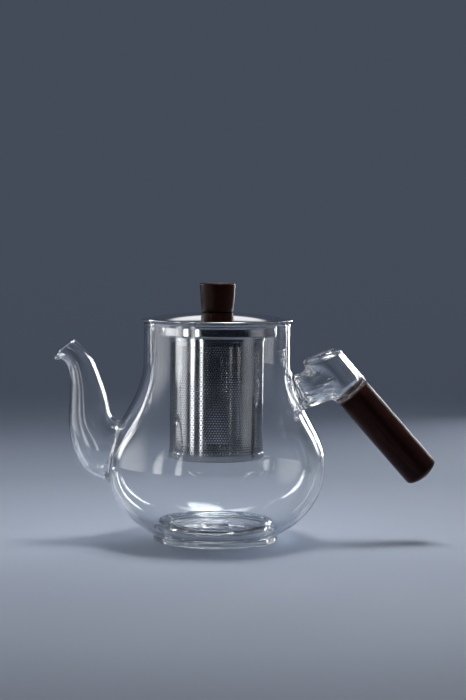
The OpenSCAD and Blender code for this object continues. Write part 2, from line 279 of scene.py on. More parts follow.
def glass_section():
    """Half section of the pot's blown glass, from the foot up and back down inside."""
    steps = 36
    edge = 1.4 * MM
    under_r = KICK_R - FLOOR
    crown = 2.6 * MM
    fold = 1.4 * MM
    fold_z = HEEL[1] + WALL + fold * 0.8
    bead = 0.3 * MM
    lip = 0.95 * MM
    rim_start = RIM_Z - 3 * MM
    neck_out = line(Vector((NECK_R, NECK_Z)), Vector((NECK_R, rim_start)), 10)[1:]
    neck_in = line(Vector((NECK_R - WALL, rim_start)), Vector((NECK_R - WALL, NECK_Z)), 10)[:-1]
    foot = (arc(Vector((under_r + edge, edge)), edge, 180, 270)
            + arc(Vector((FOOT_R - edge, edge)), edge, 270, 360)
            + [Vector((FOOT_R, FOOT_H - 1.6 * MM)), Vector((FOOT_R + 0.1 * MM, FOOT_H - 0.7 * MM))])
    rim = (arc(Vector((NECK_R + bead - lip, RIM_Z - lip)), lip, 0, 90)
           + arc(Vector((NECK_R - WALL + lip, RIM_Z - lip)), lip, 90, 180))
    # the floor: crown of the kick, slope to the dish and the button in the middle
    slope = [Vector((KICK_R - crown, KICK_Z)), Vector((DISH_R + 3.6 * MM, KICK_Z)),
             Vector((DISH_R + 2.2 * MM, DISH_Z)), Vector((DISH_R - 2.5 * MM, DISH_Z))]
    floor_top = (arc(Vector((KICK_R - crown, KICK_Z - crown)), crown, 0, 90)
                 + [curve(slope, i / 10) for i in range(1, 11)])
    button = [Vector((BUTTON_R + 2 * MM, DISH_Z)), Vector((BUTTON_R + 1 * MM, DISH_Z + 0.1 * MM)),
              Vector((BUTTON_R, DISH_Z + 0.8 * MM)), Vector((BUTTON_R - 1.2 * MM, DISH_Z + 1.1 * MM)),
              Vector((BUTTON_R - 4 * MM, DISH_Z + 1.2 * MM)), Vector((0, DISH_Z + 1.2 * MM))]
    drop = Vector((0, -FLOOR))
    floor_low = ([Vector((0, DISH_Z)) + drop]
                 + [p + drop for p in (curve(slope, i / 10) for i in range(10, 0, -1))]
                 + arc(Vector((under_r - crown, KICK_Z - FLOOR - crown)), crown, 90, 0))
    return (floor_low + foot + belly_side(0, steps)[::-1] + neck_out + rim + neck_in
            + belly_side(WALL, steps)
            + arc(Vector((KICK_R + fold, fold_z)), fold, 270, 180)
            + floor_top + button)


def belly_tool(by):
    """Solid inside the belly's outer surface, moved inwards by a depth."""
    side = belly_side(by, 24)
    top = Vector((NECK_R - by, RIM_Z + 5 * MM))
    section = [Vector((0, top[1])), top] + side + [Vector((0, FOOT_H))]
    return turn_section("belly_tool", section, 144)


def across(centre, half, slope):
    """Ends of a line of half length `half` at a slope from the X axis."""
    return centre + half * Vector((cos(slope), sin(slope)))


def spout_lines():
    """Curves of the spout's upper line, on the pot's side, and of its front line."""
    bulb_low = Vector((-BELLY_R - 24.3 * MM, 78 * MM))
    bulb_top = across(bulb_low, 26.2 * MM, radians(8.7))
    bend_low = Vector((bulb_low[0] + 0.4 * MM, 105.8 * MM))
    bend_top = across(bend_low, 17 * MM, radians(25))
    lip = Vector((-BELLY_R - 34.3 * MM, 115.2 * MM))
    mouth = across(lip, 17.6 * MM, radians(38.3))
    v = lambda x, z: Vector((x, z)) * MM
    upper = [[ROOT_TOP, ROOT_TOP + v(-4.4, 0), bulb_top + v(1, -4.6), bulb_top],
             [bulb_top, bulb_top + v(-1.4, 8.5), bend_top + v(5.6, -12.5), bend_top],
             [bend_top, bend_top + v(-2.2, 4.6), mouth + v(4.5, -4.1), mouth]]
    front = [[ROOT_LOW, ROOT_LOW + v(-15, 0.5), bulb_low + v(0, -23), bulb_low],
             [bulb_low, bulb_low + v(0.1, 9), bend_low + v(1.3, -7.8), bend_low],
             [bend_low, bend_low + v(-1.1, 6.5), lip + v(5.1, -0.6), lip]]
    return upper, front


def ring_of(top, low, by):
    """Ring through two points of the spout's lines, made smaller all round by a wall."""
    mid = (top + low) / 2
    side = top - low
    return Vector((mid[0], 0, mid[1])), side.length / 2 - by, atan2(-side[1], side[0])


def spout_tube():
    """The gooseneck spout with its fire-polished lip, its root still inside the belly."""
    steps, sides = 16, 56
    root_in = 6 * MM
    upper, front = spout_lines()
    root_dir = (ROOT_LOW - ROOT_TOP).orthogonal().normalized()
    if root_dir[0] > 0:
        root_dir.negate()
    pairs = [(ROOT_TOP - root_in * root_dir, ROOT_LOW - root_in * root_dir)]
    for s in range(3):
        for i in range(0 if s == 0 else 1, steps + 1):
            pairs.append((curve(upper[s], i / steps), curve(front[s], i / steps)))
    outside = [ring_of(top, low, 0) for top, low in pairs]
    inside = [ring_of(top, low, SPOUT_WALL) for top, low in reversed(pairs)]
    centre, radius, slope = outside[-1]
    out = Vector((sin(slope), 0, cos(slope)))
    bead = SPOUT_WALL / 2
    lip = [(centre + out * bead * sin(a), radius - bead + bead * cos(a), slope)
           for a in (radians(d) for d in (30, 60, 90, 120, 150))]
    tube = draw_tube("spout_tube", outside + lip + inside, sides)
    # the pouring edge is turned down a little, so that the last drop falls free
    open_mesh(tube)
    edit = bmesh.from_edit_mesh(tube.data)
    for v in edit.verts:
        v.select_set(v.co.x < -BELLY_R - 31.9 * MM and v.co.z > 112 * MM)
    edit.select_flush(True)
    bmesh.update_edit_mesh(tube.data)
    bpy.ops.transform.translate(value=(0.2 * MM, 0, -1.5 * MM), use_proportional_edit=True,
                                proportional_edit_falloff="SMOOTH", proportional_size=3.2 * MM)
    put_down()
    return tube


def socket_shape(name, rim, corner, end, by=0.0, nipple=None):
    """Round glass tube with one flat end, leaning with the stub, about its own +Z axis."""
    radius = SOCKET_R - by
    section = [Vector((0, -end)), Vector((radius * 0.5, -end))]
    section += arc(Vector((radius - corner, -end + corner)), corner, 270, 360)
    section += line(Vector((radius, -end + corner)), Vector((radius, -rim - corner * 0.5)), 12)[1:]
    section += arc(Vector((radius - corner * 0.5, -rim - corner * 0.5)), corner * 0.5, 0, 90)[1:]
    if nipple:
        section += nipple
    else:
        section += [Vector((0, -rim))]
    tube = turn_section(name, section, 64)
    lean = tan(pi / 2 - GRIP_TILT - STUB_TILT)
    for v in tube.data.vertices:
        if v.co.z < -end / 2 - rim:
            share = min(1.0, (-end / 2 - rim - v.co.z) / (end / 4))
            v.co.z -= share * lean * v.co.x
    return tube


SOCKET_PLACE = Matrix.Translation(SOCKET_MOUTH) @ Matrix.Rotation(pi / 2 + GRIP_TILT, 4, "Y")
MEET = Vector((SOCKET_MOUTH[0] - STUB_UP * cos(GRIP_TILT), 0,
               SOCKET_MOUTH[2] + STUB_UP * sin(GRIP_TILT)))


def stub_tube(name, radius, start, end, turn):
    """Round rod along the stub, between two distances from the pot's axis."""
    put_down()
    bpy.ops.mesh.primitive_cylinder_add(
        vertices=64, radius=radius, depth=end - start, end_fill_type="NGON")
    tube = bpy.context.object
    tube.name = name
    along = Vector((cos(STUB_TILT), 0, sin(STUB_TILT)))
    origin = MEET - along * (MEET[0] / cos(STUB_TILT))
    place(tube, Matrix.Translation(origin + along * (start + end) / 2)
          @ Matrix.Rotation(pi / 2 - STUB_TILT, 4, "Y") @ Matrix.Rotation(turn, 4, "Z"))
    return tube


def handle_glass():
    """The stub and the closed socket with its nipple, joined as one solid."""
    length = MEET[0] / cos(STUB_TILT)
    ease = 1 * MM
    nipple = ([Vector((NIPPLE_R + 1.6 * MM, 0)), Vector((NIPPLE_R + 0.5 * MM, 0.3 * MM)),
               Vector((NIPPLE_R, 1.4 * MM)), Vector((NIPPLE_R, NIPPLE_L - ease))]
              + arc(Vector((NIPPLE_R - ease, NIPPLE_L - ease)), ease, 0, 90, 4)
              + [Vector((0, NIPPLE_L))])
    socket = socket_shape("handle_glass", 0, 3.6 * MM, SOCKET_L, nipple=nipple)
    place(socket, SOCKET_PLACE)
    stub = stub_tube("stub", STUB_R, STUB_START, length, STUB_TURN)
    work_with(stub, belly_tool(WALL / 2), "DIFFERENCE")
    work_with(socket, stub, "UNION")
    return socket


def handle_cavity():
    """The hollow inside the stub, the socket and the nipple."""
    length = MEET[0] / cos(STUB_TILT)
    cavity = socket_shape("cavity", CAVITY_END, 2.6 * MM, SOCKET_L - CAVITY_END, SOCKET_WALL)
    place(cavity, SOCKET_PLACE)
    bore = stub_tube("stub_bore", STUB_R - STUB_WALL, STUB_START, length, BORE_TURN)
    work_with(bore, belly_tool(-0.3 * MM), "DIFFERENCE")
    work_with(cavity, bore, "UNION")
    put_down()
    bpy.ops.mesh.primitive_cylinder_add(vertices=30, radius=VENT_R, depth=NIPPLE_L + 8 * MM)
    vent = bpy.context.object
    place(vent, SOCKET_PLACE @ Matrix.Translation((0, 0, NIPPLE_L / 2))
          @ Matrix.Rotation(VENT_TURN, 4, "Z"))
    work_with(cavity, vent, "UNION")
    return cavity


def soften_weld(obj, inside, reach, passes, angle=18):
    """Rounds the sharp lines that a join left where inside(point) holds, as the flame does."""
    mesh = bmesh.new()
    mesh.from_mesh(obj.data)
    sharp = [e for e in mesh.edges if len(e.link_faces) == 2
             and e.calc_face_angle() > radians(angle)
             and inside(e.verts[0].co) and inside(e.verts[1].co)]
    seams = [v.co.copy() for e in sharp for v in e.verts]
    mesh.free()
    tree = KDTree(len(seams))
    for i, co in enumerate(seams):
        tree.insert(co, i)
    tree.balance()

    def pick_near(by):
        edit = bmesh.from_edit_mesh(obj.data)
        for v in edit.verts:
            v.select_set(tree.find(v.co)[2] < by)
        edit.select_flush(True)
        bmesh.update_edit_mesh(obj.data)

    open_mesh(obj)
    pick_near(reach * 1.3)
    bpy.ops.mesh.quads_convert_to_tris()
    bpy.ops.mesh.subdivide(number_cuts=1)
    bpy.ops.mesh.select_all(action="DESELECT")
    pick_near(reach)
    bpy.ops.mesh.vertices_smooth(factor=0.5, repeat=passes)
    put_down()


def blow_glass():
    """The whole blown piece: pot, spout and handle socket, fused into one."""
    glass = turn_section("blown_glass", glass_section(), 176)
    spout = spout_tube()
    work_with(spout, belly_tool(WALL / 2), "DIFFERENCE")
    work_with(glass, spout, "UNION")
    put_down()
    root = (ROOT_TOP + ROOT_LOW) / 2
    side = ROOT_TOP - ROOT_LOW
    bpy.ops.mesh.primitive_cylinder_add(vertices=64, radius=PORT_R, depth=30 * MM)
    port = bpy.context.object
    place(port, Matrix.Translation((root[0], 0, root[1]))
          @ Matrix.Rotation(atan2(-side[1], side[0]), 4, "Y"))
    work_with(glass, port, "DIFFERENCE")
    work_with(glass, handle_glass(), "UNION")
    work_with(glass, handle_cavity(), "DIFFERENCE")
    heal(glass)
    soften_weld(glass, lambda p: p.x < -50 * MM and 30 * MM < p.z < 84 * MM, 3 * MM, 12)
    soften_weld(glass, lambda p: p.x > 46 * MM and p.z > SOCKET_MOUTH[2] - 6 * MM, 2.4 * MM, 10, 26)
    heal(glass)
    smooth(glass)
    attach(glass, "pot")
    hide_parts("glass_body", "spout", "handle_stub", "handle_socket")
    return glass


# ---------------------------------------------------------------- infuser

SHEET = 0.35 * MM
BAND_R = CUP_HIGH[0]


def perforated_screen():
    """The screen: a rolled sheet with staggered round holes between two plain bands."""
    around = 106
    pitch = 2 * pi * SCREEN_R / around
    row = pitch * sqrt(3) / 2
    hole_r = 0.52 * MM
    plain_top = 3.4 * MM
    plain_low = 5.4 * MM
    rows = int((SCREEN_HIGH[2] - SCREEN_LOW[2] - plain_top - plain_low) / row / 2) * 2
    low = SCREEN_LOW[2] + plain_low
    put_down()
    bpy.ops.mesh.primitive_circle_add(
        vertices=6, radius=pitch / sqrt(3), fill_type="NGON", location=(0, 0, low),
        rotation=(pi / 2, 0, 0))
    screen = bpy.context.object
    screen.name = "infuser_mesh"
    bpy.ops.object.transform_apply(location=True, rotation=True, scale=True)
    bpy.ops.object.mode_set(mode="EDIT")
    bpy.ops.mesh.select_all(action="SELECT")
    bpy.ops.mesh.duplicate_move(TRANSFORM_OT_translate={"value": (pitch / 2, 0, row)})
    put_down()
    for count, offset in ((around, (pitch, 0, 0)), (rows // 2, (0, 0, 2 * row))):
        repeat = screen.modifiers.new("repeat", "ARRAY")
        repeat.count = count
        repeat.use_relative_offset = False
        repeat.use_constant_offset = True
        repeat.constant_offset_displace = offset
        repeat.use_merge_vertices = True
        repeat.merge_threshold = 0.02 * MM
        take(screen)
        bpy.ops.object.modifier_apply(modifier=repeat.name)
    open_mesh(screen, "FACE")
    bpy.ops.mesh.select_all(action="SELECT")
    bpy.ops.mesh.remove_doubles(threshold=0.02 * MM)
    bpy.ops.mesh.inset(thickness=pitch / 2 - hole_r, use_individual=True)
    bpy.ops.mesh.delete(type="FACE")
    # plain bands grow from the uneven upper and lower edges
    for end, side in ((SCREEN_HIGH[2], 1), (SCREEN_LOW[2], -1)):
        bpy.ops.mesh.select_mode(type="EDGE")
        bpy.ops.mesh.select_all(action="DESELECT")
        edit = bmesh.from_edit_mesh(screen.data)
        reach = max(side * v.co.z for v in edit.verts) * side
        for e in edit.edges:
            near = all(abs(v.co.z - reach) < row * 0.45 for v in e.verts)
            if near and len(e.link_faces) == 1:
                e.select_set(True)
        bmesh.update_edit_mesh(screen.data)
        straight = reach + side * row * 0.8
        bpy.ops.mesh.extrude_edges_move(TRANSFORM_OT_translate={"value": (0, 0, straight - reach)})
        bpy.ops.transform.resize(value=(1, 1, 0), center_override=(0, 0, straight))
        bpy.ops.mesh.extrude_edges_move(TRANSFORM_OT_translate={"value": (0, 0, end - straight)})
    put_down()
    # the flat sheet is rolled up round the axis
    for v in screen.data.vertices:
        turn = v.co.x / SCREEN_R
        v.co = (SCREEN_R * sin(turn), -SCREEN_R * cos(turn), v.co.z)
    heal(screen)
    wall = screen.modifiers.new("wall", "SOLIDIFY")
    wall.thickness = SHEET
    wall.offset = -1
    take(screen)
    bpy.ops.object.modifier_apply(modifier=wall.name)
    smooth(screen, 30)
    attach(screen, "infuser")
    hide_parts("infuser_screen")
    return screen


def pressed_collar():
    """The flange that hangs on the rim, its slope, the collar and the step to the screen."""
    flange_r = COLLAR_HIGH[0]
    flange_z = RIM_Z + 0.3 * MM
    slope_r = NECK_R - WALL - 0.8 * MM
    collar_r = 37.6 * MM
    top = flange_z - 2.2 * MM
    low = top - 6.8 * MM
    band_low = COLLAR_LOW[2]
    sheet = COLLAR_HIGH[2] - flange_z
    inner = BAND_R - sheet
    skin = [Vector((flange_r - 0.25 * MM, flange_z)), Vector((slope_r + 1 * MM, flange_z)),
            Vector((slope_r + 0.3 * MM, flange_z - 0.1 * MM)),
            Vector((slope_r - 0.4 * MM, flange_z - 0.45 * MM)),
            Vector((collar_r + 1.1 * MM, top + 0.45 * MM)), Vector((collar_r + 0.35 * MM, top + 0.05 * MM)),
            Vector((collar_r, top - 0.6 * MM)), Vector((collar_r, top - 0.9 * MM)),
            Vector((collar_r, low + 1.5 * MM)), Vector((collar_r, low + 1.2 * MM)),
            Vector((collar_r - 0.2 * MM, low + 0.5 * MM)), Vector((collar_r - 0.7 * MM, low + 0.08 * MM)),
            Vector((collar_r - 1.5 * MM, low)), Vector((inner + sheet + 0.9 * MM, low)),
            Vector((inner + sheet + 0.3 * MM, low - 0.15 * MM)), Vector((inner + sheet, low - 0.6 * MM)),
            Vector((inner + sheet, low - 0.8 * MM)),
            Vector((inner + sheet, band_low + 0.2 * MM)), Vector((inner + sheet - 0.2 * MM, band_low))]
    back = [Vector((inner, band_low)), Vector((inner, low - 0.2 * MM + sheet)),
            Vector((inner + 0.2 * MM, low + sheet)), Vector((collar_r - sheet - 1 * MM, low + sheet)),
            Vector((collar_r - sheet - 0.3 * MM, low + sheet + 0.25 * MM)),
            Vector((collar_r - sheet, low + sheet + 0.9 * MM)), Vector((collar_r - sheet, top - 0.3 * MM)),
            Vector((collar_r - sheet + 0.3 * MM, top + 0.35 * MM)),
            Vector((slope_r - 0.9 * MM, flange_z + sheet - 0.5 * MM)),
            Vector((slope_r, flange_z + sheet - 0.05 * MM)), Vector((slope_r + 0.8 * MM, flange_z + sheet)),
            Vector((flange_r - 0.25 * MM, flange_z + sheet)), Vector((flange_r, flange_z + sheet / 2))]
    return turned_piece("infuser_rim", skin + back, "infuser", "infuser_collar")


def base_cup():
    """The shallow cup that closes the screen below."""
    r, low, high = CUP_HIGH[0], CUP_LOW[2], CUP_HIGH[2]
    sheet, bend = 0.6 * MM, 1.2 * MM
    under = [Vector((0, low + 0.35 * MM)), Vector((r * 0.55, low + 0.25 * MM)),
             Vector((r * 0.86, low))]
    band = [Vector((r, high - 0.25 * MM)), Vector((r - 0.2 * MM, high)),
            Vector((r - sheet + 0.05 * MM, high)), Vector((r - sheet, high - 0.2 * MM)),
            Vector((r - sheet, low + bend))]
    floor = [p + Vector((0, sheet)) for p in reversed(under)]
    outline = under + arc(Vector((r - bend, low + bend)), bend, 270, 360) + band + floor
    return turned_piece("infuser_base", outline, "infuser", "infuser_cup")


# ---------------------------------------------------------------- lid

BRIM_Z = LID_LOW[2]
DOME_Z = LID_HIGH[2]
DOME_RISE = 4.7 * MM
DOME_BALL_R = (LID_R ** 2 + DOME_RISE ** 2) / (2 * DOME_RISE)
LID_SHEET = 0.8 * MM


def domed_cover():
    """The low polished dome with its rolled brim, screw hole and steam hole."""
    steam_r, steam_turn, hole_r = 39 * MM, radians(-19), 1.6 * MM
    edge = LID_SHEET / 2
    centre = Vector((0, DOME_Z - DOME_BALL_R))

    def bowed(radius, by):
        ball = DOME_BALL_R - by
        return centre + Vector((radius, sqrt(ball ** 2 - radius ** 2)))

    screw_r = 2.2 * MM
    reach = LID_R - edge
    radii = [screw_r + (reach - screw_r) * i / 40 for i in range(41)]
    roll = bowed(reach, edge)
    outline = [bowed(r, 0) for r in radii]
    outline += arc(roll, edge, 60, -60, 4)
    outline += [bowed(r, LID_SHEET) for r in reversed(radii)]
    cover = turned_piece("lid_dome", outline, "lid", "lid_cover", 176, 40)
    put_down()
    bpy.ops.mesh.primitive_cylinder_add(
        vertices=40, radius=hole_r, depth=14 * MM,
        location=(steam_r * cos(steam_turn), steam_r * sin(steam_turn), BRIM_Z + 2 * MM))
    punch = bpy.context.object
    bpy.ops.object.transform_apply(location=True, rotation=True, scale=True)
    work_with(cover, punch, "DIFFERENCE")
    heal(cover)
    smooth(cover, 40)
    return cover


# ---------------------------------------------------------------- wood and cork


def turned_grip():
    """The long turned handle: straight flank, eased lower edge and a domed end."""
    r, length, rise, fillet = 11.25 * MM, 69.8 * MM, 3.3 * MM, 3.4 * MM
    gap = 1.2 * MM
    bore_r, bore_l = NIPPLE_R + 1.6 * MM, NIPPLE_L
    ball = (r * r + rise * rise) / (2 * rise)
    end = asin((r - fillet) / (ball - fillet))
    top = gap + length
    flank_top = top - ball + (ball - fillet) * cos(end)
    corner = [Vector((r - fillet, flank_top)) + fillet * Vector((cos(a), sin(a)))
              for a in ((pi / 2 - end) * i / 7 for i in range(7))]
    dome = [Vector((0, top - ball)) + ball * Vector((sin(a), cos(a)))
            for a in (end * (8 - i) / 8 for i in range(9))]
    eased = Vector((r, gap + 0.7 * MM))
    outline = [Vector((0, bore_l + gap)), Vector((bore_r, bore_l + gap)),
               Vector((bore_r, gap + 0.4 * MM)), Vector((bore_r + 0.4 * MM, gap)),
               Vector((r - 0.7 * MM, gap)), Vector((r - 0.2 * MM, gap + 0.2 * MM)), eased]
    outline += line(eased, Vector((r, flank_top)), 12)[1:-1] + corner + dome
    grip = turned_piece("wood_grip", outline, "pot", "grip", 96, 40)
    place(grip, SOCKET_PLACE)
    return grip


def cork_sleeve():
    """The thin cork sleeve between the glass nipple and the wood."""
    inner, outer = NIPPLE_R + 0.05 * MM, NIPPLE_R + 1.55 * MM
    low, high, ease = 1.2 * MM, NIPPLE_L, 0.25 * MM
    outline = [Vector((inner, low)), Vector((outer - ease, low)), Vector((outer, low + ease)),
               Vector((outer, high - ease)), Vector((outer - ease, high)), Vector((inner, high))]
    sleeve = turned_piece("grip_cork", outline, "pot", "grip_sleeve", 64, 40)
    place(sleeve, SOCKET_PLACE)
    return sleeve


def turned_knob():
    """The wooden knob: a little wider above, with eased edges and a barely domed top."""
    foot, top = 9.9 * MM, 11.2 * MM
    low, high = KNOB_LOW[2], KNOB_HIGH[2]
    tall = high - low
    bore_r, bore_l = 2.05 * MM, 11.3 * MM
    flank = [Vector((foot, 0.5 * MM)), Vector((foot + 0.92 * MM, tall * 0.4)),
             Vector((top + 0.02 * MM, tall * 0.72)), Vector((top, tall - 1.3 * MM))]
    sides = [curve(flank, i / 12) for i in range(13)]
    crown = [Vector((top - 0.25 * MM, tall - 0.7 * MM)), Vector((top - 0.7 * MM, tall - 0.32 * MM)),
             Vector((top - 1.5 * MM, tall - 0.18 * MM)), Vector((top * 0.55, tall - 0.04 * MM)),
             Vector((0, tall))]
    under = [Vector((0, bore_l)), Vector((bore_r, bore_l)), Vector((bore_r, 0.2 * MM)),
             Vector((bore_r + 0.2 * MM, 0)), Vector((foot - 0.5 * MM, 0)),
             Vector((foot - 0.12 * MM, 0.14 * MM))]
    outline = [p + Vector((0, low)) for p in under + sides + crown]
    return turned_piece("wood_knob", outline, "lid", "knob", 96, 40)


# ---------------------------------------------------------------- finishes


class Finish:
    """A material with its surface shader, and short ways to add the nodes that feed it."""

    def __init__(self, name, **values):
        self.material = bpy.data.materials.new(name)
        self.material.use_nodes = True
        self.nodes = self.material.node_tree.nodes
        self.links = self.material.node_tree.links
        self.shader = self.nodes["Principled BSDF"]
        self.out = self.nodes["Material Output"]
        for socket, value in values.items():
            self.shader.inputs[socket.replace("_", " ")].default_value = value
        self.coords = self.add("ShaderNodeTexCoord").outputs["Object"]

    def add(self, kind, inputs=(), **settings):
        """Adds a node with its settings, and feeds or fills its inputs."""
        node = self.nodes.new(kind)
        for name, value in settings.items():
            setattr(node, name, value)
        for socket, value in dict(inputs).items():
            if isinstance(value, bpy.types.NodeSocket):
                self.links.new(value, node.inputs[socket])
            else:
                node.inputs[socket].default_value = value
        return node

    def feed(self, socket, value):
        """Feeds an input of the surface shader."""
        self.links.new(value, self.shader.inputs[socket])

    def laid(self, scale=(1, 1, 1), place=(0, 0, 0), turn=(0, 0, 0)):
        """Object coordinates laid along a piece, stretched by a scale."""
        return self.add("ShaderNodeMapping", {"Vector": self.coords, "Location": place, "Rotation": turn,
                                              "Scale": scale}, vector_type="TEXTURE").outputs[0]

    def noise(self, vector, scale, detail=2.0, rough=0.5):
        """Cloudy greys at a scale."""
        return self.add("ShaderNodeTexNoise", {"Vector": vector, "Scale": scale, "Detail": detail,
                                               "Roughness": rough}).outputs["Fac"]

    def steps(self, value, *stops):
        """Colours or greys along a value, as (place, colour)."""
        ramp = self.add("ShaderNodeValToRGB", {"Fac": value})
        stretch = ramp.color_ramp.elements
        while len(stretch) < len(stops):
            stretch.new(0.5)
        for step, (where, colour) in zip(stretch, stops):
            step.position = where
            step.color = (*colour, 1) if isinstance(colour, tuple) else (colour, colour, colour, 1)
        return ramp.outputs["Color"]

    def bump(self, height, strength, distance):
        """Raises the surface by a height."""
        node = self.add("ShaderNodeBump", {"Height": height, "Strength": strength,
                                           "Distance": distance})
        self.feed("Normal", node.outputs[0])

    def swap(self, share, other):
        """Shows another shader in place of the surface's own, by a share."""
        both = self.add("ShaderNodeMixShader", {0: share, 1: self.shader.outputs[0], 2: other})
        self.links.new(both.outputs[0], self.out.inputs["Surface"])


def clear_glass():
    """Clear borosilicate with the faint unevenness of blown glass."""
    finish = Finish("clear_blown_glass", Base_Color=(0.975, 0.985, 0.99, 1), Roughness=0.0, IOR=1.47,
                    Transmission_Weight=1.0)
    waves = finish.noise(finish.laid((1, 1, 1.8)), 22, 2.2)
    finish.bump(waves, 0.19, 2.5 * MM)
    shade = finish.add("ShaderNodeLightPath").outputs["Is Shadow Ray"]
    tilt = finish.add("ShaderNodeLayerWeight", {"Blend": 0.5}).outputs["Facing"]
    # shadows are faint where the wall is faced and dark where it is seen edge on
    passed = finish.steps(tilt, (0.2, (0.90, 0.92, 0.94)), (0.6, (0.74, 0.77, 0.81)),
                          (0.92, (0.12, 0.14, 0.17)))
    clear = finish.add("ShaderNodeBsdfTransparent", {"Color": passed})
    finish.swap(shade, clear.outputs[0])
    return finish.material


def spun_steel(name, colour, rough, change, along):
    """Steel with fine lines left by spinning or drawing, set by how its pattern is stretched."""
    finish = Finish(name, Base_Color=colour, Metallic=1.0, Roughness=rough, Anisotropic=0.2)
    lines = finish.noise(finish.laid(along), 900, 3.0, 0.6)
    smears = finish.noise(finish.coords, 60, 3.0)
    level = finish.add("ShaderNodeMath", {0: lines, 1: smears}, operation="MULTIPLY").outputs[0]
    finish.feed("Roughness", finish.add("ShaderNodeMapRange", {
        "Value": level, "From Min": 0.1, "From Max": 0.4, "To Min": rough - change,
        "To Max": rough + change}).outputs[0])
    finish.bump(lines, 0.04, 0.05 * MM)
    return finish.material


def dark_wood(name, place, turn):
    """Oiled dark hardwood with fine grain along the piece's own axis, and pores."""
    finish = Finish(name, Roughness=0.36, Specular_IOR_Level=0.12)
    grain = finish.noise(finish.laid((1, 1, 11), place, turn), 420, 5.0, 0.62)
    figure = finish.noise(finish.laid((1, 1, 5), place, turn), 70, 3.0, 0.5)
    pores = finish.noise(finish.laid((1, 1, 16), place, turn), 1500, 2.0, 0.5)
    tone = finish.add("ShaderNodeMix", {0: 0.55, 2: grain, 3: figure}, data_type="FLOAT").outputs[0]
    colour = finish.steps(tone, (0.3, (0.007, 0.0017, 0.0014)), (0.47, (0.024, 0.0054, 0.004)),
                          (0.6, (0.053, 0.0122, 0.0082)), (0.75, (0.09, 0.022, 0.0135)))
    dark = finish.steps(pores, (0.3, 0.25), (0.42, 1.0))
    finish.feed("Base Color", finish.add("ShaderNodeMix", {0: 1.0, 6: colour, 7: dark}, data_type="RGBA",
                                         blend_type="MULTIPLY").outputs[2])
    finish.feed("Roughness", finish.steps(grain, (0.3, 0.46), (0.7, 0.34)))
    surface = finish.add("ShaderNodeMath", {0: grain, 1: pores}, operation="ADD").outputs[0]
    finish.bump(surface, 0.25, 0.12 * MM)
    return finish.material


def cork_finish():
    """Fine pressed cork."""
    finish = Finish("fine_cork", Roughness=0.85)
    specks = finish.add("ShaderNodeTexVoronoi", {"Vector": finish.coords, "Scale": 900}).outputs["Distance"]
    cells = finish.noise(finish.coords, 500, 3.0)
    colour = finish.steps(cells, (0.35, (0.045, 0.022, 0.012)), (0.65, (0.095, 0.048, 0.026)))
    dark = finish.steps(specks, (0.08, 0.35), (0.25, 1.0))
    finish.feed("Base Color", finish.add("ShaderNodeMix", {0: 1.0, 6: colour, 7: dark}, data_type="RGBA",
                                         blend_type="MULTIPLY").outputs[2])
    finish.bump(specks, 0.4, 0.2 * MM)
    return finish.material


def dress(obj, material):
    """Gives an object one material all over."""
    if obj.material_slots:
        for slot in obj.material_slots:
            slot.material = material
    else:
        obj.data.materials.append(material)


# ---------------------------------------------------------------- studio

# the paper's pale colour by the pot, then painted shade: darker floor and backdrop tones further from the
# pool of light
FLOOR_COLOUR = (0.31, 0.355, 0.44)
MID_FLOOR_PAINTED_SHADE = (0.18, 0.212, 0.275)
FAR_FLOOR_PAINTED_SHADE = (0.125, 0.152, 0.21)
BACKDROP_PAINTED_SHADE = (0.105, 0.13, 0.19)
HIGH_BACKDROP_PAINTED_SHADE = (0.05, 0.06, 0.085)
POOL_OF_LIGHT = (0, -0.15, 0)
EVEN_SHADE = (0.058, 0.070, 0.100)
CARD_SHADE = (0.012, 0.015, 0.022)
CEILING_SHADE = (0.13, 0.14, 0.165)
SURROUNDINGS_COLOUR = (0.62, 0.68, 0.80)
SURROUNDINGS_LIGHT = 0.05

CAMERA_PLACE = (0, -1.2, 0.1927)
CAMERA_TURN = radians(-0.48)
CAMERA_DOWN = radians(3.44)
CAMERA_ROLL = radians(0.57)
CAMERA_LENS = 98


